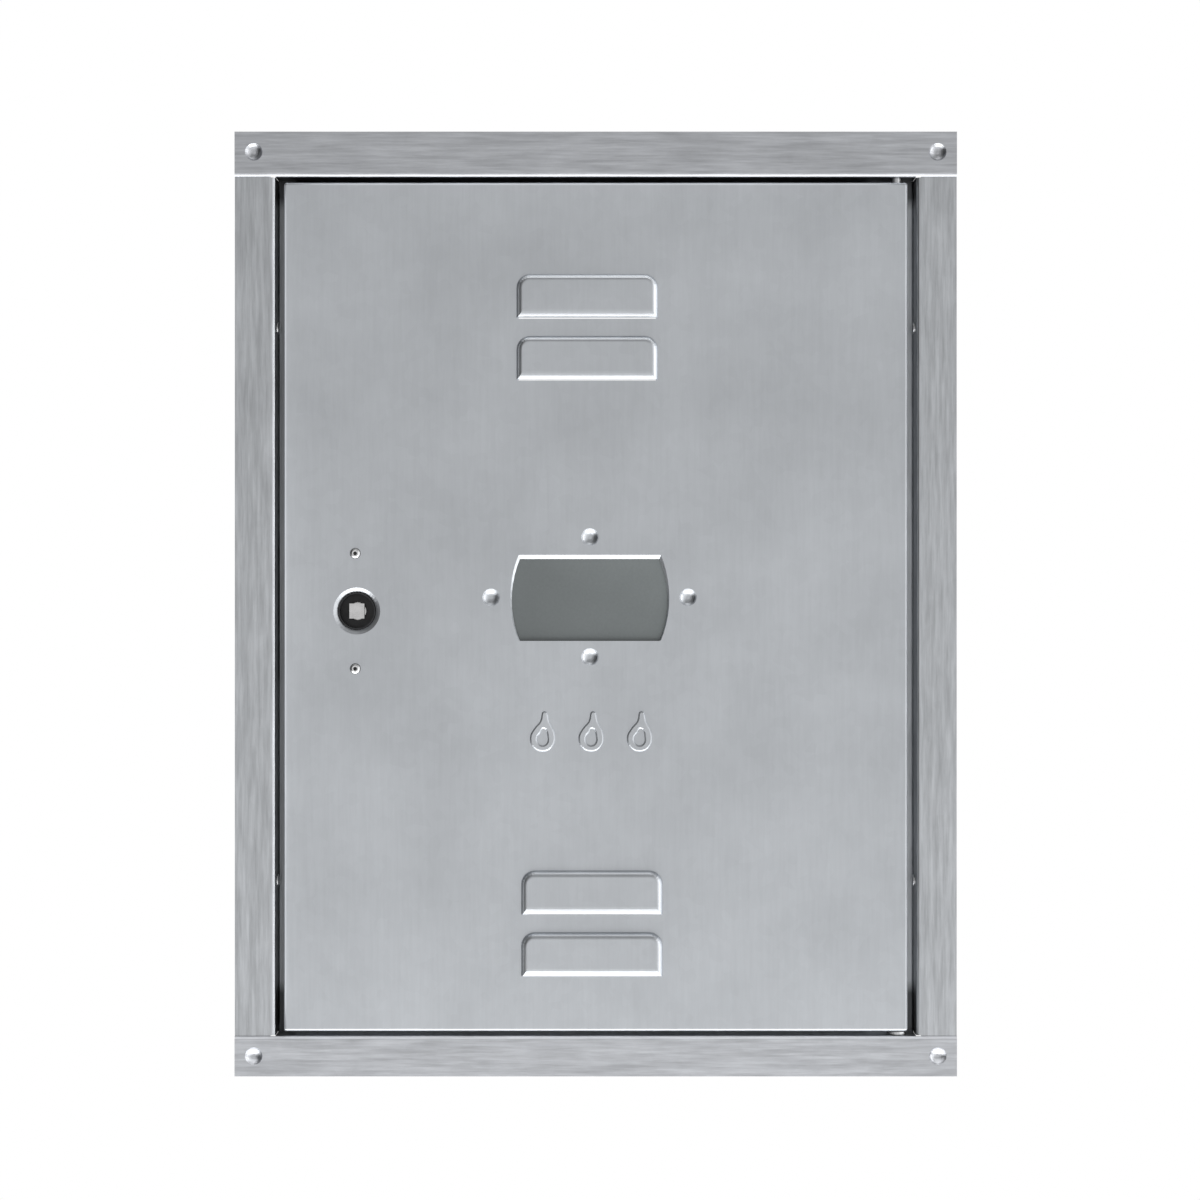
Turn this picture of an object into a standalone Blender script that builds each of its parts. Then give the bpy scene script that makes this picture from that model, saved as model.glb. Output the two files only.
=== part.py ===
"""Recessed gas meter cabinet door in its wall frame, as separate sheet-metal and lock pieces.

Metres, +Z up, front facing -Y. The origin is the centre of the wall opening, in the wall plane,
which is the back of the side stiles' flanges. Sizes are written in millimetres times MM.
"""
import math

import bmesh
import bpy
from mathutils import Matrix, Vector

MM = 0.001

# Frame
FRAME_HALF_X = 169.0
FRAME_HALF_Z = 221.0
OPENING_HALF_X = 150.0
OPENING_TOP_Z = 199.8
OPENING_BOTTOM_Z = -202.0
SHEET = 1.0
GAP = 0.3
SEAM = 0.05
LIP_Y = 14.0
LIP_WIDTH = 8.0
RAIL_FRONT_Y = -2.0 * SHEET - GAP
CORNER_JOINT_X = 160.0
CORNER_JOINT_Z = 211.5

# Wall anchors
ANCHOR_Z = 130.0
ANCHOR_WIDTH = 15.0
ANCHOR_SHEET = 1.5
ANCHOR_END_Y = 38.0
ANCHOR_SPLAY = 9.0
ANCHOR_RIVET_Y = 7.5

# Door
DOOR_HALF_X = 146.1
DOOR_TOP_Z = 197.4
DOOR_BOTTOM_Z = -200.2
DOOR_BACK_Y = 13.5
FOLD_RADIUS = 1.2
HINGE_X = 141.1
HINGE_Y = 4.0
HINGE_ZONE_X = 128.0
HINGE_ZONE_BACK_Y = 9.0
PIN_RADIUS = 2.5
PIN_TIP_Z = 192.0

# Window and pane
WINDOW_X = -2.8
WINDOW_Z = 1.9
WINDOW_HALF_X = 36.55
WINDOW_FLAT_HALF_X = 32.7
WINDOW_HALF_Z = 19.2
WINDOW_ROLL_TOP = 1.9
WINDOW_ROLL_SIDE = 0.7
PANE_THICKNESS = 2.0
PANE_X = (-41.8, 36.2)
PANE_Z = (-18.6, 24.4)
HOLDER_SHEET = 0.8
HOLDER_X = (-56.0, 50.2)
HOLDER_Z = (-31.6, 38.1)
HOLDER_JOINTS = ((-2.7, 31.3), (-2.7, -24.8), (-49.0, 3.1), (43.2, 3.1))

# Press joints: a round dish sunk through two lapped sheets
JOINT_RADIUS = 4.1
JOINT_DEPTH = 1.9
JOINT_WALL = 0.5

# Louvres: centre x and the height of the open lower lip
LOUVRE_WIDTH = 66.5
LOUVRE_HEIGHT = 20.5
LOUVRE_PLACES = ((-4.0, 134.0), (-4.0, 105.1), (-1.8, -145.2), (-1.8, -174.1))
LOUVRE_SHOULDER = 3.2
LOUVRE_RISE = 4.0
LOUVRE_LIP_RISE = 1.9
LOUVRE_LIP_SLOPE = 3.6
LOUVRE_WALL = 0.9
LOUVRE_CORNER = 6.5
LOUVRE_STEPS = 6

# Pressed flame signs
SIGN_X = -2.2
SIGN_Z = -59.6
SIGN_PITCH = 22.7
SIGN_RISE = 0.9

# Lock
LOCK_X = -111.9
LOCK_Z = -3.3
LOCK_HOLE_RADIUS = 8.9
LOCK_DISH_RADIUS = 11.0
LOCK_RIVET_X = -112.6
LOCK_RIVET_SPREAD = 27.0
RIVET_HOLE_RADIUS = 1.9
CASE_X = (-139.0, -84.0)
CASE_Z = (-38.3, 31.7)
CASE_Y = (0.3, 20.6)
CASE_SHEET = 1.2
COVER_Y = (20.9, 22.1)
SCREW_PLACES = ((-90.5, 25.2), (-132.5, -31.8))
SPINDLE_SQUARE = 7.0
SHAFT_RADIUS = 3.0
CRANK_RADIUS = 7.6
CRANK_Y = (12.0, 15.1)
DRIVE_OFFSET = 4.0
DRIVE_PIN_RADIUS = 1.75
BOLT_Y = (15.4, 18.4)
BOLT_TIP_X = -140.0
BOLT_BODY_X = (-129.5, -96.5)
BOLT_THROW = 2.0 * DRIVE_OFFSET
BOLT_TONGUE_HALF_Z = 7.0
BOLT_BODY_HALF_Z = 12.0
NOTCH_X = -118.0
NOTCH_HALF = 3.0
NOTCH_DEPTH = 2.2
SPRING_POST = (-93.0, 17.0)
SPRING_POST_RADIUS = 2.0
SPRING_SHEET = 0.4

COLLECTION_NAME = "gas_meter_cabinet_door"
CUTTER_COLLECTION_NAME = "cutters"


def clear_scene():
    """Remove whatever the file starts with."""
    for item in list(bpy.data.objects):
        bpy.data.objects.remove(item, do_unlink=True)


def make_collection(name):
    """Link a new collection into the scene."""
    collection = bpy.data.collections.new(name)
    bpy.context.scene.collection.children.link(collection)
    return collection


def make_material(name, color, roughness, metallic):
    """One plain Principled BSDF material."""
    material = bpy.data.materials.new(name)
    material.use_nodes = True
    shader = material.node_tree.nodes["Principled BSDF"]
    shader.inputs["Base Color"].default_value = (*color, 1.0)
    shader.inputs["Roughness"].default_value = roughness
    shader.inputs["Metallic"].default_value = metallic
    return material


clear_scene()
PARTS = make_collection(COLLECTION_NAME)
CUTTERS = make_collection(CUTTER_COLLECTION_NAME)
GALVANISED = make_material("galvanised_sheet", (0.62, 0.65, 0.67), 0.42, 0.9)
ZINC_PLATED = make_material("zinc_plated_steel", (0.66, 0.67, 0.68), 0.3, 1.0)
ALUMINIUM = make_material("aluminium_rivet", (0.78, 0.79, 0.8), 0.35, 1.0)
BLACK_ENAMEL = make_material("black_enamel", (0.02, 0.02, 0.022), 0.35, 0.0)
PANE_GLASS = make_material("smoked_glass", (0.2, 0.23, 0.22), 0.08, 0.0)
SPRING_STEEL = make_material("spring_steel", (0.45, 0.45, 0.46), 0.35, 1.0)


# --- building blocks -------------------------------------------------------------------------

def new_object(name, mesh, material=None, collection=PARTS):
    """Put a mesh in the scene; a piece has a material, a cutter has none."""
    item = bpy.data.objects.new(name, mesh)
    collection.objects.link(item)
    if material:
        mesh.materials.append(material)
    return item


def as_cutter(item):
    """Keep a helper solid out of the finished object."""
    for collection in list(item.users_collection):
        collection.objects.unlink(item)
    CUTTERS.objects.link(item)
    item.hide_render = True
    item.display_type = "WIRE"
    return item


def mesh_from(name, bm):
    """Turn a bmesh into a mesh with its faces pointing out."""
    bmesh.ops.recalc_face_normals(bm, faces=bm.faces)
    mesh = bpy.data.meshes.new(name)
    bm.to_mesh(mesh)
    bm.free()
    return mesh


def add_box(bm, low, high):
    """Add a box between two corners given in millimetres."""
    size = [(b - a) * MM for a, b in zip(low, high)]
    centre = [(a + b) / 2.0 * MM for a, b in zip(low, high)]
    matrix = Matrix.Translation(centre) @ Matrix.Diagonal((*size, 1.0))
    bmesh.ops.create_cube(bm, size=1.0, matrix=matrix)


def add_cylinder(bm, centre, low, high, radius, axis="Y", segments=32, end_radius=None):
    """Add a cylinder or cone along one axis; centre holds the two other coordinates."""
    end_radius = radius if end_radius is None else end_radius
    middle = (low + high) / 2.0
    if axis == "Y":
        place = Vector((centre[0], middle, centre[1]))
        turn = Matrix.Rotation(math.radians(-90.0), 4, "X")
    elif axis == "Z":
        place = Vector((centre[0], centre[1], middle))
        turn = Matrix.Identity(4)
    else:
        place = Vector((middle, centre[0], centre[1]))
        turn = Matrix.Rotation(math.radians(90.0), 4, "Y")
    bmesh.ops.create_cone(
        bm, cap_ends=True, segments=segments, radius1=radius * MM, radius2=end_radius * MM,
        depth=(high - low) * MM, matrix=Matrix.Translation(place * MM) @ turn)


def boolean(target, tool, operation):
    """Cut a tool from a piece, or join it on."""
    modifier = target.modifiers.new(f"{operation}_{tool.name}", "BOOLEAN")
    modifier.operation = operation
    modifier.solver = "EXACT"
    modifier.object = as_cutter(tool)


def cut(target, name, shapes):
    """Cut a group of separate solids, which shapes adds to a bmesh."""
    bm = bmesh.new()
    shapes(bm)
    boolean(target, new_object(f"{target.name}_{name}", mesh_from(name, bm)), "DIFFERENCE")


def join(target, name, shapes):
    """Join a group of solids to a piece."""
    bm = bmesh.new()
    shapes(bm)
    boolean(target, new_object(f"{target.name}_{name}", mesh_from(name, bm)), "UNION")


def shade(item, angle=30.0):
    """Smooth shading with the folds kept sharp."""
    item.data.shade_smooth()
    item.data.set_sharp_from_angle(angle=math.radians(angle))


def add_loft(bm, rings):
    """Add a closed solid through rings of equally many points."""
    loops = [[bm.verts.new(Vector(point) * MM) for point in ring] for ring in rings]
    for loop, after in zip(loops, loops[1:]):
        for index, vertex in enumerate(loop):
            bm.faces.new((loop[index - 1], vertex, after[index], after[index - 1]))
    bm.faces.new(loops[0])
    bm.faces.new(reversed(loops[-1]))
    bmesh.ops.recalc_face_normals(bm, faces=bm.faces)


def add_dish(bm, place, mouth_y, radius, depth, steps=5, segments=28):
    """Add a solid that is flat at the mouth and bulges back like part of a ball."""
    ball = (radius ** 2 + depth ** 2) / (2.0 * depth)
    reach = math.asin(radius / ball)
    rings = []
    for step in range(steps):
        angle = reach * (1.0 - step / steps)
        y = mouth_y + depth - ball * (1.0 - math.cos(angle))
        turns = [math.tau * index / segments for index in range(segments)]
        rings.append([(place[0] + ball * math.sin(angle) * math.cos(turn), y,
                       place[1] + ball * math.sin(angle) * math.sin(turn)) for turn in turns])
    add_loft(bm, rings)


def press_joints(sheet, places, front_y, radius):
    """Sink a round dish into a sheet at each place, with a thin wall of its own behind it."""
    def dishes(bm):
        for place in places:
            mouth_y = front_y + 0.4 * JOINT_WALL
            add_dish(bm, place, mouth_y, radius + JOINT_WALL, JOINT_DEPTH + 0.6 * JOINT_WALL)

    def hollows(bm):
        for place in places:
            add_dish(bm, place, front_y - 0.01, radius, JOINT_DEPTH + 0.01)

    join(sheet, "dishes", dishes)
    cut(sheet, "hollows", hollows)


def rounded_path(points, radii, segments=5):
    """A polyline whose inner corners are arcs of the given radii."""
    path = [Vector(points[0])]
    for before, corner, after, radius in zip(points, points[1:], points[2:], radii):
        corner = Vector(corner)
        inward = (Vector(before) - corner).normalized()
        outward = (Vector(after) - corner).normalized()
        half = inward.angle(outward) / 2.0
        centre = corner + (inward + outward).normalized() * (radius / math.sin(half))
        start = corner + inward * (radius / math.tan(half)) - centre
        sweep = start.angle_signed(corner + outward * (radius / math.tan(half)) - centre)
        for step in range(segments + 1):
            turn = Matrix.Rotation(-sweep * step / segments, 2)
            path.append(centre + turn @ start)
    path.append(Vector(points[-1]))
    return path


def folded_sheet(name, points, radii, span, along, thickness, material):
    """A sheet folded along a path and drawn out along one axis.

    Along Z the path holds (x, y) and runs towards +x; along X it holds (z, y) and runs towards
    -z; along Y it holds (x, z) and runs towards +x. The path is the visible face, and the sheet
    lies behind it, which is below it along Y.
    """
    path = rounded_path(points, radii)
    bm = bmesh.new()
    rows = []
    for end in span:
        if along == "Z":
            places = [(a, b, end) for a, b in path]
        elif along == "X":
            places = [(end, b, a) for a, b in path]
        else:
            places = [(a, end, b) for a, b in path]
        rows.append([bm.verts.new(Vector(place) * MM) for place in places])
    for index in range(len(path) - 1):
        bm.faces.new((rows[0][index], rows[0][index + 1], rows[1][index + 1], rows[1][index]))
    mesh = bpy.data.meshes.new(name)
    bm.to_mesh(mesh)
    bm.free()
    item = new_object(name, mesh, material)
    solidify = item.modifiers.new("sheet", "SOLIDIFY")
    solidify.thickness = thickness * MM
    solidify.offset = -1.0
    solidify.use_even_offset = True
    shade(item)
    return item


def mirrored(points, side):
    """Mirror a path to the +x (or -z) side and keep its running direction."""
    if side < 0:
        return points
    return [(-a, b) for a, b in reversed(points)]


def outline_solid(name, splines, depth, matrix, bezier=False, edge=0.0):
    """A flat outline with holes, given thickness and rounded edges, and turned into a mesh."""
    curve = bpy.data.curves.new(name, "CURVE")
    curve.dimensions = "2D"
    curve.fill_mode = "BOTH"
    curve.extrude = (depth / 2.0 - edge) * MM
    curve.bevel_depth = edge * MM
    curve.bevel_resolution = 1
    curve.offset = -edge * MM
    curve.resolution_u = 4
    for points in splines:
        spline = curve.splines.new("BEZIER" if bezier else "POLY")
        spline.use_cyclic_u = True
        if bezier:
            spline.bezier_points.add(len(points) - 1)
            for control, (x, y) in zip(spline.bezier_points, points):
                control.co = (x * MM, y * MM, 0.0)
                control.handle_left_type = "AUTO"
                control.handle_right_type = "AUTO"
        else:
            spline.points.add(len(points) - 1)
            for control, (x, y) in zip(spline.points, points):
                control.co = (x * MM, y * MM, 0.0, 1.0)
    return curve_to_mesh(name, curve, matrix)


def curve_to_mesh(name, curve, matrix):
    """Evaluate a curve, weld its caps and keep its place."""
    holder = bpy.data.objects.new(f"{name}_curve", curve)
    PARTS.objects.link(holder)
    holder.matrix_world = matrix
    bpy.context.view_layer.update()
    evaluated = holder.evaluated_get(bpy.context.evaluated_depsgraph_get())
    mesh = bpy.data.meshes.new_from_object(evaluated)
    bm = bmesh.new()
    bm.from_mesh(mesh)
    bmesh.ops.remove_doubles(bm, verts=bm.verts, dist=1e-6)
    bmesh.ops.recalc_face_normals(bm, faces=bm.faces)
    bm.to_mesh(mesh)
    bm.free()
    item = new_object(name, mesh)
    item.matrix_world = holder.matrix_world.copy()
    bpy.data.objects.remove(holder, do_unlink=True)
    return item


def turned(name, profile, place, material, facing="-Y", steps=24, closed=False):
    """Turn a profile of (radius, height) points; height points along the facing direction."""
    bm = bmesh.new()
    verts = [bm.verts.new((radius * MM, 0.0, height * MM)) for radius, height in profile]
    for first, second in zip(verts, verts[1:]):
        bm.edges.new((first, second))
    if closed:
        bm.edges.new((verts[-1], verts[0]))
    mesh = bpy.data.meshes.new(name)
    bm.to_mesh(mesh)
    bm.free()
    item = new_object(name, mesh, material)
    screw = item.modifiers.new("turn", "SCREW")
    screw.axis = "Z"
    screw.steps = steps
    screw.render_steps = steps
    screw.use_merge_vertices = True
    screw.merge_threshold = 0.00001
    screw.use_smooth_shade = True
    item.location = Vector(place) * MM
    turns = {"-Y": (90.0, 0.0, 0.0), "+X": (0.0, 90.0, 0.0), "-X": (0.0, -90.0, 0.0),
             "+Z": (0.0, 0.0, 0.0), "-Z": (180.0, 0.0, 0.0)}
    item.rotation_euler = [math.radians(value) for value in turns[facing]]
    return item


def facing_front(x, y, z):
    """A matrix that stands a flat outline upright, its local +Y up and its face to the front."""
    return Matrix.Translation(Vector((x, y, z)) * MM) @ Matrix.Rotation(math.radians(90.0), 4, "X")


# --- frame -----------------------------------------------------------------------------------

def build_stile(name, side):
    """Side stile: face flange, leg into the wall and a stop lip, from one folded sheet."""
    points = mirrored([(-FRAME_HALF_X, -SHEET), (-OPENING_HALF_X, -SHEET),
                       (-OPENING_HALF_X, LIP_Y), (-OPENING_HALF_X + LIP_WIDTH, LIP_Y)], side)
    radii = (2.0, 1.0) if side < 0 else (1.0, 2.0)
    stile = folded_sheet(name, points, radii, (-FRAME_HALF_Z, FRAME_HALF_Z), "Z", SHEET, GALVANISED)

    def end_notches(bm):
        inner, outer = sorted((side * (OPENING_HALF_X - LIP_WIDTH - 1.0), side * (OPENING_HALF_X + 2.3)))
        for low, high in ((OPENING_TOP_Z - SEAM, FRAME_HALF_Z + 1.0),
                          (-FRAME_HALF_Z - 1.0, OPENING_BOTTOM_Z + SEAM)):
            add_box(bm, (inner, -2.0, low), (outer, LIP_Y + 2.0, high))

    def rivet_holes(bm):
        for up in (-1, 1):
            add_cylinder(bm, (ANCHOR_RIVET_Y, up * ANCHOR_Z), side * 148.0, side * 153.0, 1.9, "X", 16)

    cut(stile, "end_notches", end_notches)
    cut(stile, "rivet_holes", rivet_holes)
    corners = [(side * CORNER_JOINT_X, up * CORNER_JOINT_Z) for up in (-1, 1)]
    press_joints(stile, corners, -SHEET, JOINT_RADIUS + JOINT_WALL + GAP)
    return stile


def opening_edge(up):
    """Distance of the opening's top or bottom edge from the centre."""
    return OPENING_TOP_Z if up > 0 else -OPENING_BOTTOM_Z


def build_rail(name, up):
    """Top or bottom rail: its flange laps over the stiles, its leg and lip sit between them."""
    edge = opening_edge(up)
    points = [(FRAME_HALF_Z, RAIL_FRONT_Y), (edge, RAIL_FRONT_Y), (edge, LIP_Y),
              (edge - LIP_WIDTH, LIP_Y)]
    radii = (2.0, 1.0)
    if up < 0:
        points = [(-a, b) for a, b in reversed(points)]
        radii = (1.0, 2.0)
    rail = folded_sheet(name, points, radii, (-FRAME_HALF_X, FRAME_HALF_X), "X", SHEET, GALVANISED)
    near, far = sorted((up * (edge - LIP_WIDTH - 1.0), up * (edge + 3.0)))
    lip_near, lip_far = sorted((up * (edge - LIP_WIDTH - 1.0), up * (edge - 0.01)))

    def leg_ends(bm):
        for side in (-1, 1):
            low, high = sorted((side * (OPENING_HALF_X - SEAM), side * (FRAME_HALF_X + 1.0)))
            add_box(bm, (low, -SHEET - 0.25, near), (high, LIP_Y + 2.0, far))

    def lip_ends(bm):
        for side in (-1, 1):
            low, high = sorted((side * (OPENING_HALF_X - LIP_WIDTH - SEAM), side * OPENING_HALF_X))
            add_box(bm, (low, LIP_Y - 1.5, lip_near), (high, LIP_Y + 2.0, lip_far))

    def pin_hole(bm):
        low, high = sorted((up * (edge - 2.0), up * (edge + 4.0)))
        add_cylinder(bm, (HINGE_X, HINGE_Y), low, high, PIN_RADIUS + GAP, "Z", 24)

    cut(rail, "leg_ends", leg_ends)
    cut(rail, "lip_ends", lip_ends)
    cut(rail, "pin_hole", pin_hole)
    corners = [(side * CORNER_JOINT_X, up * CORNER_JOINT_Z) for side in (-1, 1)]
    press_joints(rail, corners, RAIL_FRONT_Y, JOINT_RADIUS)
    return rail


def build_wall_anchor(name, side, up):
    """Fishtail strap on the outer side of a leg, splayed back into the wall."""
    inner = OPENING_HALF_X + SHEET + GAP
    end = inner + ANCHOR_SPLAY
    points = mirrored([(-inner, 1.5), (-inner, LIP_Y - 0.5), (-end, ANCHOR_END_Y)], side)
    centre = up * ANCHOR_Z
    span = (centre - ANCHOR_WIDTH / 2.0, centre + ANCHOR_WIDTH / 2.0)
    anchor = folded_sheet(name, points, (3.0,), span, "Z", ANCHOR_SHEET, GALVANISED)

    def holes(bm):
        add_cylinder(bm, (ANCHOR_RIVET_Y, centre), side * 150.0, side * 156.0, 1.9, "X", 16)
        size = 7.0 * MM
        place = Vector((side * end, ANCHOR_END_Y + 0.6, centre)) * MM
        turn = Matrix.Rotation(math.radians(45.0), 4, "X")
        stretch = Matrix.Diagonal((3.0, 1.0, 1.0, 1.0))
        bmesh.ops.create_cube(bm, size=size, matrix=Matrix.Translation(place) @ stretch @ turn)

    cut(anchor, "holes", holes)
    return anchor


def build_anchor_rivet(name, side, up):
    """Low rivet that holds an anchor to the leg, its head inside the opening."""
    head = GAP
    back = -(SHEET + 2.0 * GAP + ANCHOR_SHEET)
    profile = ((0.0, head + 0.9), (1.6, head + 0.8), (2.8, head + 0.3), (2.8, head), (1.6, head),
               (1.6, back), (2.6, back), (2.4, back - 0.9), (0.0, back - 0.9))
    return turned(name, profile, (side * OPENING_HALF_X, ANCHOR_RIVET_Y, up * ANCHOR_Z), ALUMINIUM,
                  facing="-X" if side > 0 else "+X", steps=16)


# --- door ------------------------------------------------------------------------------------

def door_blank():
    """The folded tray: face and four returns, open at the back."""
    bm = bmesh.new()
    add_box(bm, (-DOOR_HALF_X, -SHEET, DOOR_BOTTOM_Z), (DOOR_HALF_X, DOOR_BACK_Y, DOOR_TOP_Z))
    back = [face for face in bm.faces if face.normal.y > 0.9]
    bmesh.ops.delete(bm, geom=back, context="FACES_ONLY")
    mesh = bpy.data.meshes.new("door_panel")
    bm.to_mesh(mesh)
    bm.free()
    door = new_object("door_panel", mesh, GALVANISED)
    bevel = door.modifiers.new("folds", "BEVEL")
    bevel.width = FOLD_RADIUS * MM
    bevel.segments = 3
    bevel.limit_method = "ANGLE"
    solidify = door.modifiers.new("sheet", "SOLIDIFY")
    solidify.thickness = SHEET * MM
    solidify.offset = -1.0
    solidify.use_even_offset = True
    return door


def cut_door_edges(door):
    """Open the four corners of the folded returns and make the returns shallow at the hinges."""
    def corner_slots(bm):
        for side in (-1, 1):
            for edge_z in (DOOR_BOTTOM_Z, DOOR_TOP_Z):
                inward = 2.4 if edge_z < 0 else -2.4
                x_pair = sorted((side * (DOOR_HALF_X + 1.0), side * (DOOR_HALF_X - 2.4)))
                z_pair = sorted((edge_z - math.copysign(1.0, inward), edge_z + inward))
                add_box(bm, (x_pair[0], 0.6, z_pair[0]), (x_pair[1], DOOR_BACK_Y + 1.0, z_pair[1]))

    def hinge_zone(bm):
        add_box(bm, (HINGE_ZONE_X, HINGE_ZONE_BACK_Y, DOOR_BOTTOM_Z - 1.0),
                (DOOR_HALF_X + 1.0, DOOR_BACK_Y + 1.0, DOOR_TOP_Z + 1.0))

    def pin_holes(bm):
        bottom = (DOOR_BOTTOM_Z - 1.0, DOOR_BOTTOM_Z + 2.0)
        top = (DOOR_TOP_Z - 2.0, DOOR_TOP_Z + 1.0)
        for low, high in (bottom, top):
            add_cylinder(bm, (HINGE_X, HINGE_Y), low, high, PIN_RADIUS + GAP, "Z", 24)

    cut(door, "corner_slots", corner_slots)
    cut(door, "hinge_zone", hinge_zone)
    cut(door, "pin_holes", pin_holes)


def louvre_outline(inset, bottom):
    """Louvre outline with rounded top corners, seen from the front, its lip line at z = 0."""
    half = LOUVRE_WIDTH / 2.0 - inset
    top = LOUVRE_HEIGHT - inset
    radius = LOUVRE_CORNER - inset
    points = [(-half, bottom), (half, bottom)]
    for centre_x, start in ((half - radius, 0.0), (-half + radius, 90.0)):
        for step in range(LOUVRE_STEPS + 1):
            angle = math.radians(start + 90.0 * step / LOUVRE_STEPS)
            points.append((centre_x + radius * math.cos(angle), top - radius + radius * math.sin(angle)))
    return points


def add_louvre(bm, place, wall, lip_drop):
    """Add one louvre bulge of elliptical section; wall shrinks it all round to make its hollow."""
    lip_angle = math.asin(LOUVRE_LIP_RISE / LOUVRE_RISE)
    verts = []
    for step in range(-1, LOUVRE_STEPS + 1):
        angle = lip_angle + (math.pi / 2.0 - lip_angle) * max(step, 0) / LOUVRE_STEPS
        if step < 0:
            y, inset, bottom = -SHEET * 0.6 + 1.4 * wall, wall, -lip_drop
        else:
            lift = 1.0 - math.cos((angle - lip_angle) / (math.pi / 2.0 - lip_angle) * math.pi / 2.0)
            y = -SHEET - LOUVRE_RISE * math.sin(angle) + wall
            inset = LOUVRE_SHOULDER * (1.0 - math.cos(angle)) + wall
            bottom = LOUVRE_LIP_SLOPE * lift + wall if step > 0 else -lip_drop
        for x, z in louvre_outline(inset, bottom):
            verts.append(bm.verts.new(Vector((place[0] + x, y, place[1] + z)) * MM))
    hull = bmesh.ops.convex_hull(bm, input=verts)
    spare = list({item for item in hull["geom_interior"] if isinstance(item, bmesh.types.BMVert)})
    bmesh.ops.delete(bm, geom=spare, context="VERTS")


def press_louvres(door):
    """Four louvres pressed outward, each open along its lower lip."""
    def bulges(bm):
        for place in LOUVRE_PLACES:
            add_louvre(bm, place, 0.0, 0.0)

    def hollows(bm):
        for place in LOUVRE_PLACES:
            add_louvre(bm, place, LOUVRE_WALL, 0.4)

    join(door, "louvre_bulges", bulges)
    cut(door, "louvre_hollows", hollows)


def window_outline():
    """Flat top and bottom with bowed sides."""
    bow = WINDOW_HALF_X - WINDOW_FLAT_HALF_X
    radius = (WINDOW_HALF_Z ** 2 + bow ** 2) / (2.0 * bow)
    reach = math.asin(WINDOW_HALF_Z / radius)
    points = []
    for side in (1, -1):
        centre = side * (WINDOW_HALF_X - radius)
        for step in range(11):
            angle = reach * (2.0 * step / 10 - 1.0)
            points.append((centre + side * radius * math.cos(angle), side * radius * math.sin(angle)))
    return points


def cut_window(door):
    """The window, its edge rolled in most at the top, and the joints of the pane holder."""
    place = facing_front(WINDOW_X, 0.0, WINDOW_Z)
    boolean(door, outline_solid("door_panel_window", [window_outline()], 6.0, place), "DIFFERENCE")
    height = 2.0 * WINDOW_HALF_Z

    def rolled_edge(bm):
        rings = []
        for y, share in ((-SHEET - 0.01, 1.0), (-0.1 * SHEET, -0.05)):
            wider = 1.0 + share * WINDOW_ROLL_SIDE / WINDOW_HALF_X
            taller = (height - 0.2 + share * WINDOW_ROLL_TOP) / height
            foot = WINDOW_Z - WINDOW_HALF_Z + 0.2
            rings.append([(WINDOW_X + x * wider, y, foot + (z + WINDOW_HALF_Z) * taller)
                          for x, z in window_outline()])
        add_loft(bm, rings)

    cut(door, "rolled_edge", rolled_edge)
    press_joints(door, HOLDER_JOINTS, -SHEET, JOINT_RADIUS)


def press_flames(door):
    """Three raised flame signs in a row, with rounded edges."""
    outer = [(0.9, 9.5), (3.2, 4.4), (5.9, -2.6), (4.2, -7.8), (0.0, -9.5), (-4.2, -7.8), (-5.9, -2.9),
             (-3.9, 1.4), (-1.2, 4.6)]
    inner = [(0.5, 1.2), (2.3, -2.6), (1.9, -5.6), (0.0, -6.6), (-1.9, -5.6), (-2.5, -3.0), (-0.9, -0.6)]
    for index in (-1, 0, 1):
        matrix = facing_front(SIGN_X + index * SIGN_PITCH, -SHEET, SIGN_Z)
        flame = outline_solid(f"door_panel_flame_{index + 1}", [outer, inner], 2.0 * SIGN_RISE, matrix,
                              bezier=True, edge=0.7)
        boolean(door, flame, "UNION")


def cut_lock_holes(door):
    """The dished lock hole and the two rivet holes beside it."""
    def holes(bm):
        add_cylinder(bm, (LOCK_X, LOCK_Z), -1.01, 0.01, LOCK_DISH_RADIUS,
                     end_radius=LOCK_HOLE_RADIUS, segments=40)
        for up in (-1, 1):
            rivet_z = LOCK_Z + up * LOCK_RIVET_SPREAD
            add_cylinder(bm, (LOCK_RIVET_X, rivet_z), -2.0, 1.0, RIVET_HOLE_RADIUS, segments=16)
    cut(door, "lock_holes", holes)


def build_door():
    """The door leaf, pressed and cut from one sheet."""
    door = door_blank()
    cut_door_edges(door)
    press_louvres(door)
    cut_window(door)
    press_flames(door)
    cut_lock_holes(door)
    return door


def build_pane():
    """The window pane behind the sheet."""
    bm = bmesh.new()
    add_box(bm, (PANE_X[0], GAP, PANE_Z[0]), (PANE_X[1], GAP + PANE_THICKNESS, PANE_Z[1]))
    return new_object("window_pane", mesh_from("window_pane", bm), PANE_GLASS)


def build_pane_holder():
    """Thin sheet frame behind the window, stepped back round the pane and press-joined to the door."""
    front = GAP
    step_back = GAP + PANE_THICKNESS + GAP
    bm = bmesh.new()
    add_box(bm, (HOLDER_X[0], front, HOLDER_Z[0]), (HOLDER_X[1], front + HOLDER_SHEET, HOLDER_Z[1]))
    holder = new_object("pane_holder", mesh_from("pane_holder", bm), GALVANISED)

    def around_pane(bm, margin, low, high):
        add_box(bm, (PANE_X[0] - margin, low, PANE_Z[0] - margin),
                (PANE_X[1] + margin, high, PANE_Z[1] + margin))

    def step(bm):
        around_pane(bm, GAP + 0.6, front + 0.1, step_back + HOLDER_SHEET)

    def pocket(bm):
        around_pane(bm, GAP, front - 1.0, step_back)

    def opening(bm):
        around_pane(bm, -2.4, front - 1.0, step_back + 2.0)

    join(holder, "step", step)
    cut(holder, "pocket", pocket)
    cut(holder, "opening", opening)
    press_joints(holder, HOLDER_JOINTS, front, JOINT_RADIUS + JOINT_WALL + GAP)
    return holder


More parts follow.
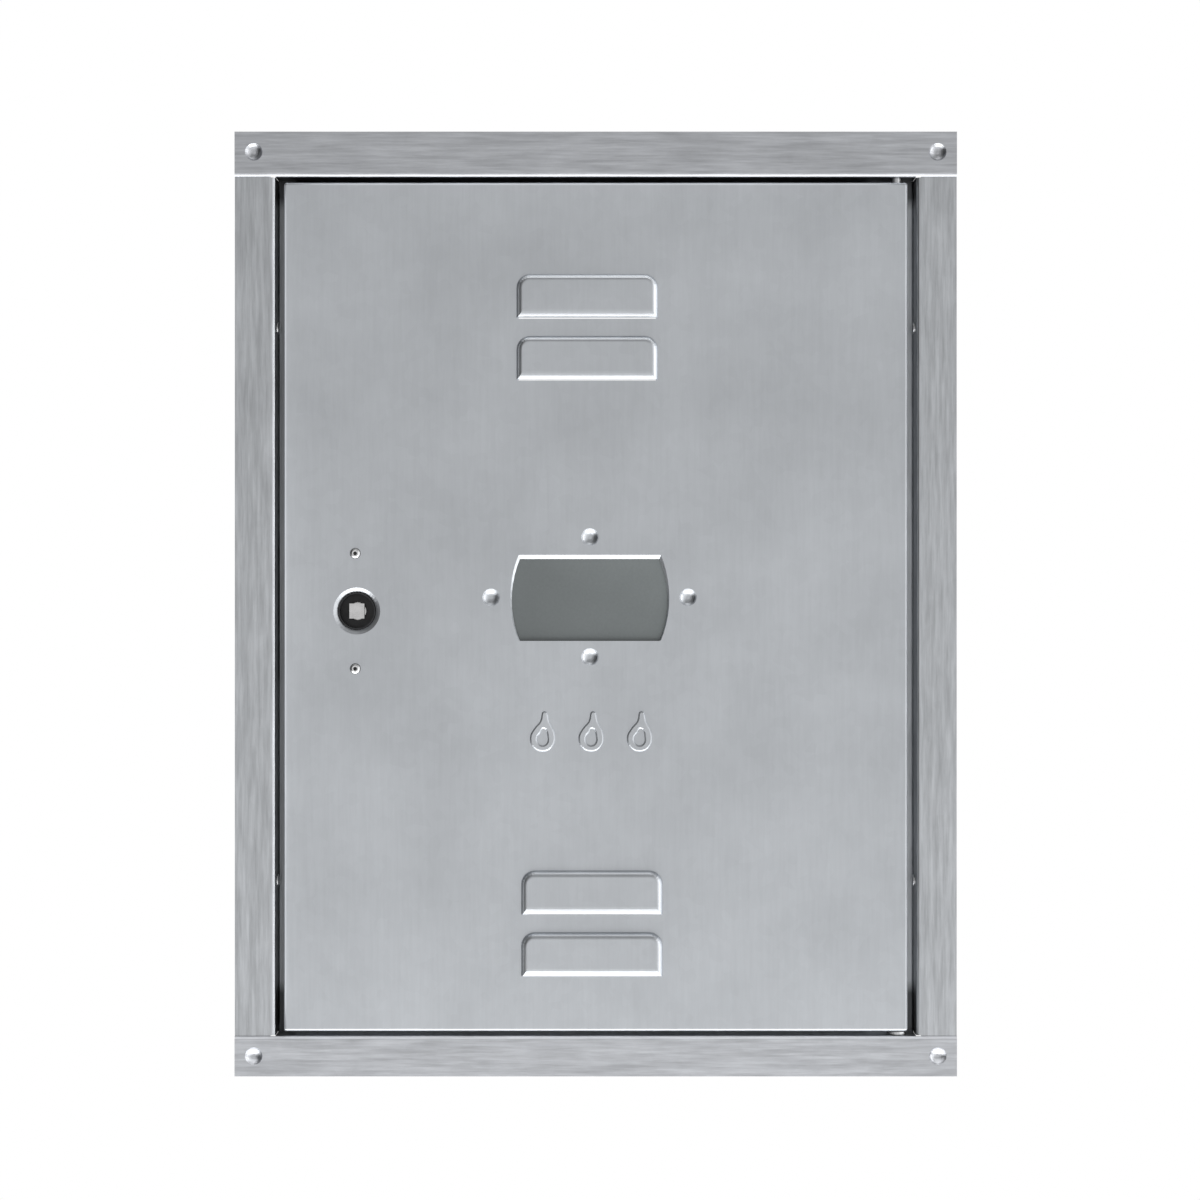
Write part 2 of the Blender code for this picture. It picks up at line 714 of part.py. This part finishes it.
def build_hinge_pin(name, up):
    """Headed pin fixed in a rail's leg, on the hinge axis."""
    base = opening_edge(up) + SHEET + GAP
    tip = PIN_TIP_Z - base
    profile = ((0.0, 2.0), (3.4, 2.0), (4.0, 1.4), (4.0, 0.0), (PIN_RADIUS, 0.0),
               (PIN_RADIUS, tip + 1.0), (1.5, tip), (0.0, tip))
    return turned(name, profile, (HINGE_X, HINGE_Y, up * base), ZINC_PLATED, "+Z" if up > 0 else "-Z")


def build_hinge_washer():
    """Washer on the lower pin that carries the door."""
    high = (DOOR_BOTTOM_Z - OPENING_BOTTOM_Z) / 2.0 - GAP
    profile = ((4.6, high), (4.6, -high), (PIN_RADIUS + GAP, -high), (PIN_RADIUS + GAP, high))
    middle = (DOOR_BOTTOM_Z + OPENING_BOTTOM_Z) / 2.0
    return turned("hinge_washer", profile, (HINGE_X, HINGE_Y, middle), ZINC_PLATED, "+Z", closed=True)


# --- lock ------------------------------------------------------------------------------------

def build_lock_case():
    """Sheet box behind the door, open at the back, with two screw posts and a spring post."""
    bm = bmesh.new()
    add_box(bm, (CASE_X[0], CASE_Y[0], CASE_Z[0]), (CASE_X[1], CASE_Y[1], CASE_Z[1]))
    back = [face for face in bm.faces if face.normal.y > 0.9]
    bmesh.ops.delete(bm, geom=back, context="FACES_ONLY")
    mesh = bpy.data.meshes.new("lock_case")
    bm.to_mesh(mesh)
    bm.free()
    case = new_object("lock_case", mesh, ZINC_PLATED)
    bevel = case.modifiers.new("folds", "BEVEL")
    bevel.width = 1.5 * MM
    bevel.segments = 2
    solidify = case.modifiers.new("sheet", "SOLIDIFY")
    solidify.thickness = CASE_SHEET * MM
    solidify.offset = -1.0
    solidify.use_even_offset = True

    def posts(bm):
        for place in SCREW_PLACES:
            add_cylinder(bm, place, CASE_Y[0] + 0.7, CASE_Y[1] - GAP, 3.4, segments=24)
        add_cylinder(bm, SPRING_POST, CASE_Y[0] + 0.7, CASE_Y[1] - GAP, SPRING_POST_RADIUS, segments=16)

    def openings(bm):
        add_cylinder(bm, (LOCK_X, LOCK_Z), -1.0, 3.0, LOCK_HOLE_RADIUS, segments=40)
        for up in (-1, 1):
            rivet_z = LOCK_Z + up * LOCK_RIVET_SPREAD
            add_cylinder(bm, (LOCK_RIVET_X, rivet_z), -1.0, 3.0, RIVET_HOLE_RADIUS, segments=16)
        add_box(bm, (CASE_X[0] - 1.0, BOLT_Y[0] - GAP, LOCK_Z - BOLT_TONGUE_HALF_Z - GAP),
                (CASE_X[0] + 3.0, BOLT_Y[1] + GAP, LOCK_Z + BOLT_TONGUE_HALF_Z + GAP))

    def thread_holes(bm):
        for place in SCREW_PLACES:
            add_cylinder(bm, place, 10.0, CASE_Y[1] + 1.0, 1.8, segments=16)

    cut(case, "openings", openings)
    join(case, "posts", posts)
    cut(case, "thread_holes", thread_holes)
    return case


def build_back_cover():
    """Flat cover that closes the case and carries the spindle's rear end."""
    bm = bmesh.new()
    add_box(bm, (CASE_X[0], COVER_Y[0], CASE_Z[0]), (CASE_X[1], COVER_Y[1], CASE_Z[1]))
    cover = new_object("lock_back_cover", mesh_from("lock_back_cover", bm), ZINC_PLATED)

    def holes(bm):
        add_cylinder(bm, (LOCK_X, LOCK_Z), COVER_Y[0] - 1.0, COVER_Y[1] + 1.0,
                     SHAFT_RADIUS + GAP, segments=24)
        for place in SCREW_PLACES:
            add_cylinder(bm, place, COVER_Y[0] - 1.0, COVER_Y[1] + 1.0, 1.8, segments=16)

    cut(cover, "holes", holes)
    return cover


def build_cover_screws():
    """Two domed screws that hold the cover to the posts."""
    seat = COVER_Y[1] + GAP
    profile = ((0.0, 13.0 - seat), (1.5, 13.0 - seat), (1.5, 0.0), (3.0, 0.0), (2.6, 1.1), (0.0, 1.5))
    downward = tuple((radius, -height) for radius, height in profile)
    for name, (x, z) in zip(("cover_screw_upper", "cover_screw_lower"), SCREW_PLACES):
        turned(name, downward, (x, seat, z), ZINC_PLATED, "-Y", steps=16)


def build_lock_cup():
    """Black key cup: a sleeve through the door and case, with a floor round the spindle."""
    outline = ((8.6, -0.8), (8.6, 1.8), (10.5, 1.8), (10.5, 2.8), (8.6, 2.8), (8.6, 7.5), (4.3, 7.5),
               (4.3, 6.0), (8.1, 6.0), (8.1, -0.8))
    profile = tuple((radius, -y) for radius, y in outline)
    return turned("lock_cup", profile, (LOCK_X, 0.0, LOCK_Z), BLACK_ENAMEL, "-Y", steps=40, closed=True)


def build_lock_rivet(name, up):
    """Blind rivet with its mandrel hole showing at the front."""
    outline = ((0.0, -1.3), (0.9, -1.3), (0.9, -2.2), (1.5, -2.25), (2.2, -1.9), (2.5, -1.3),
               (1.6, -1.3), (1.6, 1.8), (2.4, 2.2), (2.4, 3.8), (1.4, 4.5), (0.0, 4.5))
    profile = tuple((radius, -y) for radius, y in outline)
    centre = (LOCK_RIVET_X, 0.0, LOCK_Z + up * LOCK_RIVET_SPREAD)
    return turned(name, profile, centre, ALUMINIUM, steps=20)


def build_spindle():
    """Square key post, journals, crank disc and the pin that drives the bolt."""
    half = SPINDLE_SQUARE / 2.0
    bm = bmesh.new()
    add_box(bm, (-half, -0.4, -half), (half, 5.7, half))
    spindle = new_object("lock_spindle", mesh_from("lock_spindle", bm), ZINC_PLATED)
    spindle.location = Vector((LOCK_X, 0.0, LOCK_Z)) * MM

    def journal(bm):
        add_cylinder(bm, (LOCK_X, LOCK_Z), 5.2, 9.0, 4.0, segments=32)

    def shaft(bm):
        add_cylinder(bm, (LOCK_X, LOCK_Z), 8.0, 22.9, SHAFT_RADIUS, segments=32)

    def crank(bm):
        add_cylinder(bm, (LOCK_X, LOCK_Z), CRANK_Y[0], CRANK_Y[1], CRANK_RADIUS, segments=32)

    def drive_pin(bm):
        add_cylinder(bm, (LOCK_X + DRIVE_OFFSET, LOCK_Z + DRIVE_OFFSET), CRANK_Y[1] - 0.6,
                     BOLT_Y[1] - 0.2, DRIVE_PIN_RADIUS, segments=20)

    join(spindle, "journal", journal)
    join(spindle, "shaft", shaft)
    join(spindle, "crank", crank)
    join(spindle, "drive_pin", drive_pin)
    return spindle


def build_bolt():
    """Flat dead bolt, drawn back: slots for the shaft and the drive pin, notches for the spring."""
    slot_centre = LOCK_X + DRIVE_OFFSET
    pin_slot_half = DRIVE_PIN_RADIUS + 0.45
    shaft_slot_half = SHAFT_RADIUS + 0.4
    bm = bmesh.new()
    add_box(bm, (BOLT_BODY_X[0], BOLT_Y[0], LOCK_Z - BOLT_BODY_HALF_Z),
            (BOLT_BODY_X[1], BOLT_Y[1], LOCK_Z + BOLT_BODY_HALF_Z))
    bolt = new_object("lock_bolt", mesh_from("lock_bolt", bm), ZINC_PLATED)

    def tongue(bm):
        verts = []
        for z in (LOCK_Z - BOLT_TONGUE_HALF_Z, LOCK_Z + BOLT_TONGUE_HALF_Z):
            for x, y in ((BOLT_BODY_X[0] + 2.0, BOLT_Y[0]), (BOLT_TIP_X, BOLT_Y[0]),
                         (BOLT_TIP_X, BOLT_Y[0] + 0.8), (BOLT_TIP_X + 3.5, BOLT_Y[1]),
                         (BOLT_BODY_X[0] + 2.0, BOLT_Y[1])):
                verts.append(bm.verts.new(Vector((x, y, z)) * MM))
        bmesh.ops.convex_hull(bm, input=verts)

    def notches(bm):
        top = LOCK_Z + BOLT_BODY_HALF_Z
        for x in (NOTCH_X, NOTCH_X + BOLT_THROW):
            verts = []
            for y in (BOLT_Y[0] - 1.0, BOLT_Y[1] + 1.0):
                for side, z in ((-1.25, top + NOTCH_DEPTH / 4.0), (1.25, top + NOTCH_DEPTH / 4.0),
                                (0.0, top - NOTCH_DEPTH)):
                    verts.append(bm.verts.new(Vector((x + side * NOTCH_HALF, y, z)) * MM))
            bmesh.ops.convex_hull(bm, input=verts)

    def shaft_slot(bm):
        reach = DRIVE_OFFSET + shaft_slot_half
        add_box(bm, (slot_centre - reach, BOLT_Y[0] - 1.0, LOCK_Z - shaft_slot_half),
                (slot_centre + reach, BOLT_Y[1] + 1.0, LOCK_Z + shaft_slot_half))

    def pin_slot(bm):
        top = math.hypot(DRIVE_OFFSET, DRIVE_OFFSET) + pin_slot_half
        add_box(bm, (slot_centre - pin_slot_half, BOLT_Y[0] - 1.0, LOCK_Z),
                (slot_centre + pin_slot_half, BOLT_Y[1] + 1.0, LOCK_Z + top))

    join(bolt, "tongue", tongue)
    cut(bolt, "notches", notches)
    cut(bolt, "shaft_slot", shaft_slot)
    cut(bolt, "pin_slot", pin_slot)
    return bolt


def build_detent_spring():
    """Leaf spring curled round its post, its bump resting in a notch of the bolt."""
    post_x, post_z = SPRING_POST
    curl = SPRING_POST_RADIUS + GAP
    straight = [(NOTCH_X - 6.0, 12.2), (NOTCH_X - 2.8, 11.9), (NOTCH_X, 7.9), (NOTCH_X + 2.8, 11.9)]
    points = list(straight)
    for step in range(9):
        angle = math.radians(-90.0 + 30.0 * step)
        points.append((post_x + curl * math.cos(angle), post_z + curl * math.sin(angle)))
    radii = [0.8, 0.5, 0.8] + [0.05] * (len(points) - 5)
    return folded_sheet("detent_spring", points, radii, BOLT_Y, "Y", SPRING_SHEET, SPRING_STEEL)


def main():
    """Build every piece."""
    build_stile("frame_left_stile", -1)
    build_stile("frame_right_stile", 1)
    build_rail("frame_top_rail", 1)
    build_rail("frame_bottom_rail", -1)
    for up, level in ((1, "top"), (-1, "bottom")):
        for side, hand in ((-1, "left"), (1, "right")):
            build_wall_anchor(f"wall_anchor_{level}_{hand}", side, up)
            build_anchor_rivet(f"anchor_rivet_{level}_{hand}", side, up)
    build_door()
    build_pane()
    build_pane_holder()
    build_hinge_pin("hinge_pin_top", 1)
    build_hinge_pin("hinge_pin_bottom", -1)
    build_hinge_washer()
    build_lock_case()
    build_back_cover()
    build_cover_screws()
    build_lock_cup()
    build_lock_rivet("lock_rivet_top", 1)
    build_lock_rivet("lock_rivet_bottom", -1)
    build_spindle()
    build_bolt()
    build_detent_spring()


main()
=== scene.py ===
"""Looks of the galvanised gas meter cabinet door: materials, light and camera."""

import math

import bpy
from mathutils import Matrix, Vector


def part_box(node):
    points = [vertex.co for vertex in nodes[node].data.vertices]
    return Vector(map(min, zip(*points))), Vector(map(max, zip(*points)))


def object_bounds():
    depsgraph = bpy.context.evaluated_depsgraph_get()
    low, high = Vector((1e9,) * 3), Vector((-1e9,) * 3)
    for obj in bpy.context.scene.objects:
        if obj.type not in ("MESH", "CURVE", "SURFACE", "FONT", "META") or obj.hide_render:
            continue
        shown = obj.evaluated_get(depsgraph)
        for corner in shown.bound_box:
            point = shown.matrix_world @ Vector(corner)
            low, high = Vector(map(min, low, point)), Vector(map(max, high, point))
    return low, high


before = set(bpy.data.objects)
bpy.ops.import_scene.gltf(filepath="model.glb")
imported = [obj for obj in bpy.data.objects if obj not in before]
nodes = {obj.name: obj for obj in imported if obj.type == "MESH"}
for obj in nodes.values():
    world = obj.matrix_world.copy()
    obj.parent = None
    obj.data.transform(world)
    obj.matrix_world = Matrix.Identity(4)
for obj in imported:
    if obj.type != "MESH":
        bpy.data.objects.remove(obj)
cad_low, cad_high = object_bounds()


# --- shader building blocks ------------------------------------------------------------------

def node(tree, kind, **values):
    """Add a shader node; values set its properties."""
    made = tree.nodes.new(kind)
    for key, value in values.items():
        setattr(made, key, value)
    return made


def link(tree, source, output, target, socket):
    """Connect two shader nodes."""
    tree.links.new(source.outputs[output], target.inputs[socket])


def new_material(name):
    """A material with an empty Principled BSDF."""
    material = bpy.data.materials.new(name)
    material.use_nodes = True
    tree = material.node_tree
    return material, tree, tree.nodes["Principled BSDF"]


def object_place(tree, scale=(1.0, 1.0, 1.0)):
    """Positions in metres, which a scale stretches for streaks."""
    coordinates = node(tree, "ShaderNodeTexCoord")
    mapping = node(tree, "ShaderNodeMapping")
    mapping.inputs["Scale"].default_value = scale
    link(tree, coordinates, "Object", mapping, "Vector")
    return mapping


def object_axes(tree):
    """The same positions, split into X, Y and Z."""
    parts = node(tree, "ShaderNodeSeparateXYZ")
    link(tree, object_place(tree), "Vector", parts, "Vector")
    return parts


def noise(tree, scale, detail=3.0, roughness=0.5, stretch=(1.0, 1.0, 1.0)):
    """Noise in metres; scale is waves per metre."""
    place = object_place(tree, stretch)
    made = node(tree, "ShaderNodeTexNoise")
    made.inputs["Scale"].default_value = scale
    made.inputs["Detail"].default_value = detail
    made.inputs["Roughness"].default_value = roughness
    link(tree, place, "Vector", made, "Vector")
    return made


def spread(tree, source, output, low, high, start=0.3, stop=0.7):
    """Map an output, held between start and stop, to the range from low to high."""
    made = node(tree, "ShaderNodeMapRange")
    made.inputs["From Min"].default_value = start
    made.inputs["From Max"].default_value = stop
    made.inputs["To Min"].default_value = low
    made.inputs["To Max"].default_value = high
    link(tree, source, output, made, "Value")
    return made


def combine(tree, operation, first, second):
    """A maths node fed by two value nodes."""
    made = node(tree, "ShaderNodeMath", operation=operation)
    tree.links.new(first.outputs[0], made.inputs[0])
    tree.links.new(second.outputs[0], made.inputs[1])
    return made


def multiply(tree, first, second):
    """Multiply two value nodes."""
    return combine(tree, "MULTIPLY", first, second)


def tint(tree, color, factor):
    """A colour scaled by a value."""
    made = node(tree, "ShaderNodeVectorMath", operation="SCALE")
    made.inputs[0].default_value = color
    tree.links.new(factor.outputs[0], made.inputs["Scale"])
    return made


def bump(tree, shader, height, distance, below=None):
    """Fine relief, distance deep in metres, laid over the relief below if there is any."""
    made = node(tree, "ShaderNodeBump")
    made.inputs["Distance"].default_value = distance
    made.inputs["Strength"].default_value = 1.0
    tree.links.new(height.outputs[0], made.inputs["Height"])
    if below:
        link(tree, below, "Normal", made, "Normal")
    link(tree, made, "Normal", shader, "Normal")
    return made


# --- materials -------------------------------------------------------------------------------

# Where painted shade darkens the frame's inner walls, and how dark it is on the lock side, the hinge side
# and at the corners.
WALL_DEPTH = (0.0012, 0.02)
RECESS_X = (-0.1505, 0.1505)
RECESS_Z = (-0.2025, 0.2003)
OPEN_WALL_Z = (-0.178, 0.186)
LOCK_SIDE_SHADE = 0.45
HINGE_SIDE_SHADE = 0.85
CORNER_SHADE = 0.25


def inside(tree, parts, axis, limits, soft):
    """1 between two positions on an axis, 0 outside, with soft ends."""
    low, high = limits
    rise = spread(tree, parts, axis, 0.0, 1.0, low - soft, low)
    fall = spread(tree, parts, axis, 1.0, 0.0, high, high + soft)
    return multiply(tree, rise, fall)


def painted_recess_shade(tree):
    """Painted shade on the frame's inner walls, deepest on the lock side and at the corners."""
    parts = object_axes(tree)
    depth = inside(tree, parts, "Y", WALL_DEPTH, 0.001)
    width = inside(tree, parts, "X", RECESS_X, 0.0003)
    height = inside(tree, parts, "Z", RECESS_Z, 0.0003)
    within = multiply(tree, multiply(tree, depth, width), height)
    side = spread(tree, parts, "X", LOCK_SIDE_SHADE, HINGE_SIDE_SHADE, 0.1, 0.14)
    ends = inside(tree, parts, "Z", OPEN_WALL_Z, 0.006)
    wall = multiply(tree, side, spread(tree, ends, 0, CORNER_SHADE, 1.0, 0.0, 1.0))
    blend = node(tree, "ShaderNodeMix", data_type="FLOAT")
    tree.links.new(within.outputs[0], blend.inputs[0])
    blend.inputs[2].default_value = 1.0
    tree.links.new(wall.outputs[0], blend.inputs[3])
    return blend


def galvanised(name, color, roughness, grain, smudge, streak, painted_recess=False):
    """Skin-passed zinc sheet: rolling streaks along the grain, faint spangle and handling smudges, with
    painted shade on the frame's inner walls where asked.
    """
    material, tree, shader = new_material(name)
    across = [1.0 if axis == grain else 14.0 for axis in "XYZ"]
    streaks = noise(tree, 42.0, 4.0, 0.6, across)
    clouds = noise(tree, 17.0, 2.0, 0.45)
    grime = noise(tree, 60.0, 3.0, 0.55)
    spangle = node(tree, "ShaderNodeTexVoronoi", feature="F1")
    spangle.inputs["Scale"].default_value = 210.0
    link(tree, object_place(tree), "Vector", spangle, "Vector")
    cells = node(tree, "ShaderNodeSeparateColor")
    link(tree, spangle, "Color", cells, "Color")
    shade = multiply(tree, spread(tree, streaks, 0, 1.0 - streak, 1.0 + streak),
                     spread(tree, clouds, 0, 1.0 - smudge, 1.0 + 0.5 * smudge))
    shade = multiply(tree, shade, spread(tree, cells, "Red", 0.985, 1.015, 0.0, 1.0))
    shade = multiply(tree, shade, spread(tree, grime, 0, 0.985, 1.01))
    # Painted shade: the frame's inner walls are darkened in the colour.
    if painted_recess:
        shade = multiply(tree, shade, painted_recess_shade(tree))
    link(tree, tint(tree, color, shade), 0, shader, "Base Color")
    rough = multiply(tree, spread(tree, clouds, 0, roughness * 1.08, roughness * 0.94),
                     spread(tree, streaks, 0, 0.96, 1.04))
    link(tree, rough, 0, shader, "Roughness")
    shader.inputs["Metallic"].default_value = 1.0
    fine = bump(tree, shader, streaks, 0.00003)
    bump(tree, shader, noise(tree, 1500.0, 2.0), 0.000012, below=fine)
    return material


def plated(name, color, roughness):
    """Zinc-plated or bright steel hardware with faint turning marks."""
    material, tree, shader = new_material(name)
    patches = noise(tree, 260.0, 3.0)
    marks = noise(tree, 900.0, 2.0, 0.6, (1.0, 1.0, 6.0))
    shade = multiply(tree, spread(tree, patches, 0, 0.9, 1.05), spread(tree, marks, 0, 0.95, 1.04))
    link(tree, tint(tree, color, shade), 0, shader, "Base Color")
    link(tree, spread(tree, patches, 0, roughness * 1.25, roughness * 0.85), 0, shader, "Roughness")
    shader.inputs["Metallic"].default_value = 1.0
    bump(tree, shader, marks, 0.00002)
    return material


def rivet_aluminium():
    """Plain aluminium, with painted shade down the blind rivets' mandrel holes."""
    material = plated("rivet_aluminium", (0.86, 0.865, 0.87), 0.28)
    tree = material.node_tree
    shader = tree.nodes["Principled BSDF"]
    parts = object_axes(tree)
    # Painted shade: the colour falls to 6% behind the rivet heads' faces, down the mandrel holes.
    floor = spread(tree, parts, "Y", 1.0, 0.06, -0.0019, -0.0016)
    base = shader.inputs["Base Color"].links[0].from_node
    hole_shaded = node(tree, "ShaderNodeVectorMath", operation="SCALE")
    link(tree, base, 0, hole_shaded, 0)
    tree.links.new(floor.outputs[0], hole_shaded.inputs["Scale"])
    link(tree, hole_shaded, 0, shader, "Base Color")
    return material


def black_enamel():
    """Black baked enamel with a little orange peel and dust; the black also paints the deep shade down
    the key recess.
    """
    material, tree, shader = new_material("black_enamel")
    dust = noise(tree, 400.0, 4.0)
    # Near-black colour: partly the cup's own finish, partly painted shade down the key recess.
    link(tree, tint(tree, (0.02, 0.021, 0.023), spread(tree, dust, 0, 0.7, 1.6)), 0, shader, "Base Color")
    link(tree, spread(tree, dust, 0, 0.3, 0.5), 0, shader, "Roughness")
    bump(tree, shader, noise(tree, 1200.0, 2.0), 0.00003)
    return material


def smoked_pane():
    """Opaque smoked pane with a little haze on it; its dark tone is partly the smoke tint and partly
    painted shade of the cabinet interior behind it, and a painted sheen lightens it towards the upper
    right.
    """
    material, tree, shader = new_material("smoked_pane")
    haze = noise(tree, 26.0, 2.0, 0.4)
    specks = noise(tree, 900.0, 3.0)
    shade = multiply(tree, spread(tree, haze, 0, 0.94, 1.08), spread(tree, specks, 0, 0.97, 1.03))
    # Painted sheen: the colour rises towards the right and the top, where the lamps stand.
    parts = object_axes(tree)
    for axis, low, high in (("X", -0.03, 0.03), ("Z", -0.015, 0.02)):
        shade = multiply(tree, shade, spread(tree, parts, axis, 0.92, 1.1, low, high))
    # Smoke tint, partly painted shade of the dark cabinet interior seen through the pane.
    link(tree, tint(tree, (0.18, 0.198, 0.2), shade), 0, shader, "Base Color")
    link(tree, spread(tree, haze, 0, 0.16, 0.24), 0, shader, "Roughness")
    shader.inputs["Specular IOR Level"].default_value = 0.35
    bump(tree, shader, haze, 0.00005)
    return material


DOOR_SHEET = galvanised("door_galvanised_sheet", (0.655, 0.682, 0.715), 0.33, "Z", 0.085, 0.022)
# The stiles and top rail carry painted shade on their inner walls; the sill and the anchors do not.
STILE_SHEET_RECESS_SHADED = galvanised("stile_galvanised_sheet_recess_shaded", (0.6, 0.62, 0.645), 0.32, "Z", 0.04, 0.17, True)
RAIL_SHEET_RECESS_SHADED = galvanised("rail_galvanised_sheet_recess_shaded", (0.595, 0.61, 0.64), 0.32, "X", 0.04, 0.17, True)
SILL_SHEET = galvanised("sill_galvanised_sheet", (0.595, 0.61, 0.64), 0.32, "X", 0.04, 0.17)
ANCHOR_STRIP = galvanised("anchor_galvanised_strip", (0.5, 0.515, 0.53), 0.5, "Y", 0.08, 0.04)
ZINC = plated("zinc_plated_steel", (0.62, 0.63, 0.64), 0.32)
BRIGHT = plated("polished_zinc_steel", (0.78, 0.78, 0.78), 0.22)
ALUMINIUM = plated("rivet_aluminium", (0.86, 0.865, 0.87), 0.3)
LOCK_RIVET = rivet_aluminium()
SPRING = plated("spring_steel", (0.36, 0.365, 0.38), 0.3)
ENAMEL = black_enamel()
PANE = smoked_pane()

NODE_MATERIALS = {
    "door_panel": DOOR_SHEET, "frame_left_stile": STILE_SHEET_RECESS_SHADED, "frame_right_stile": STILE_SHEET_RECESS_SHADED,
    "frame_top_rail": RAIL_SHEET_RECESS_SHADED, "frame_bottom_rail": SILL_SHEET, "window_pane": PANE,
    "lock_cup": ENAMEL, "lock_spindle": BRIGHT, "detent_spring": SPRING,
    "lock_rivet_top": LOCK_RIVET, "lock_rivet_bottom": LOCK_RIVET,
}


def material_of(name):
    """The material of a CAD node."""
    if name.startswith("wall_anchor"):
        return ANCHOR_STRIP
    if name.startswith("anchor_rivet"):
        return ALUMINIUM
    return NODE_MATERIALS.get(name, ZINC)


def dress_cad_nodes():
    """Give every CAD node its finish, and smooth shading between its fold lines."""
    for name, item in nodes.items():
        item.data.materials.clear()
        item.data.materials.append(material_of(name))
        item.data.shade_smooth()
        item.data.set_sharp_from_angle(angle=math.radians(28.0))


# --- stage -----------------------------------------------------------------------------------

FLOOR_DROP = 0.35
FLOOR_RADIUS = 1.2
CAMERA_DISTANCE = 1.5
CAMERA_X = 0.00199
CAMERA_Z = 0.00187
VIEW_WIDTH = 0.5614
SENSOR_WIDTH = 36.0

BELOW_Z = cad_low.z - FLOOR_DROP + 0.02

# Name, place, target, size, power in watts, and the only nodes it lights, or none for all nodes.
LIGHTS = (
    ("overhead", (0.2, -0.5, 1.6), (0.0, 0.0, 0.0), (1.2, 0.5), 1.3, ()),
    ("below", (0.0, -0.3, BELOW_Z), (0.0, -0.3, 1.0), (1.2, 0.6), 4.7, ()),
    ("right", (1.1, -0.35, 0.0), (0.0, -0.1, 0.0), (0.4, 1.2), 1.6, ()),
    ("bottom_rail_gleam", (0.0, -0.13, -0.06), (0.0, 0.0, -0.204), (0.6, 0.2), 0.3,
     ("frame_bottom_rail",)),
    ("door_edge_left", (-0.162, -0.014, 0.0), (-0.1445, 0.0, 0.0), (0.022, 0.39), 0.022,
     ("door_panel",)),
    ("door_edge_top", (0.0, -0.02, 0.225), (0.0, 0.0, 0.1975), (0.28, 0.03), 0.021,
     ("door_panel",)),
)


def make_floor():
    """Plain pale floor well below the part, which hangs as it would in a wall."""
    bpy.ops.mesh.primitive_circle_add(vertices=96, radius=FLOOR_RADIUS, fill_type="NGON",
                                      location=(0.0, 0.0, cad_low.z - FLOOR_DROP))
    floor = bpy.context.object
    floor.name = "floor"
    material, tree, shader = new_material("pale_floor")
    shader.inputs["Base Color"].default_value = (0.9, 0.9, 0.9, 1.0)
    shader.inputs["Roughness"].default_value = 0.9
    shader.inputs["Emission Color"].default_value = (1.0, 1.0, 1.0, 1.0)
    shader.inputs["Emission Strength"].default_value = 0.35
    floor.data.materials.append(material)


def make_world():
    """Soft studio surround, brighter to the right and above, dim to the left, white to the camera."""
    world = bpy.data.worlds.new("studio")
    bpy.context.scene.world = world
    world.use_nodes = True
    tree = world.node_tree
    background = tree.nodes["Background"]
    direction = node(tree, "ShaderNodeTexCoord")
    parts = node(tree, "ShaderNodeSeparateXYZ")
    link(tree, direction, "Generated", parts, "Vector")
    level = spread(tree, parts, "Z", 0.74, 0.6, -0.25, 0.15)
    level = multiply(tree, level, spread(tree, parts, "Z", 1.0, 0.42, 0.2, 0.6))
    above = spread(tree, parts, "Z", 0.0, 0.35, 0.85, 1.0)
    right = spread(tree, parts, "X", 0.0, 0.7, 0.4, 0.9)
    left = spread(tree, parts, "X", 0.03, 1.0, -0.75, -0.25)
    lit = multiply(tree, level, left)
    for extra in (above, right):
        lit = combine(tree, "ADD", lit, extra)
    seen = node(tree, "ShaderNodeLightPath")
    strength = node(tree, "ShaderNodeMix", data_type="FLOAT")
    link(tree, seen, "Is Camera Ray", strength, 0)
    tree.links.new(lit.outputs[0], strength.inputs[2])
    strength.inputs[3].default_value = 1.0
    background.inputs["Color"].default_value = (1.0, 1.0, 1.0, 1.0)
    tree.links.new(strength.outputs[0], background.inputs["Strength"])


def area_light(name, place, target, size, power, only):
    """A soft box that faces a target, size wide and tall in metres."""
    light = bpy.data.lights.new(name, "AREA")
    light.shape = "RECTANGLE"
    light.size = size[0]
    light.size_y = size[1]
    light.energy = power
    item = bpy.data.objects.new(name, light)
    item.location = place
    item.rotation_euler = (Vector(target) - Vector(place)).to_track_quat("-Z", "Y").to_euler()
    item.visible_camera = False
    bpy.context.scene.collection.objects.link(item)
    if only:
        receivers = bpy.data.collections.new(f"{name}_receivers")
        for receiver in only:
            receivers.objects.link(nodes[receiver])
        item.light_linking.receiver_collection = receivers


def make_camera():
    """Square-on view of the closed door."""
    front_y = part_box("frame_top_rail")[0].y
    camera = bpy.data.cameras.new("camera")
    camera.sensor_width = SENSOR_WIDTH
    camera.lens = SENSOR_WIDTH * CAMERA_DISTANCE / VIEW_WIDTH
    item = bpy.data.objects.new("camera", camera)
    item.location = (CAMERA_X, front_y - CAMERA_DISTANCE, CAMERA_Z)
    item.rotation_euler = (math.radians(90.0), 0.0, 0.0)
    bpy.context.scene.collection.objects.link(item)
    bpy.context.scene.camera = item


def main():
    """Dress the model and set the stage."""
    dress_cad_nodes()
    make_floor()
    make_world()
    for light in LIGHTS:
        area_light(*light)
    make_camera()
    bpy.context.scene.view_settings.view_transform = "Standard"


main()
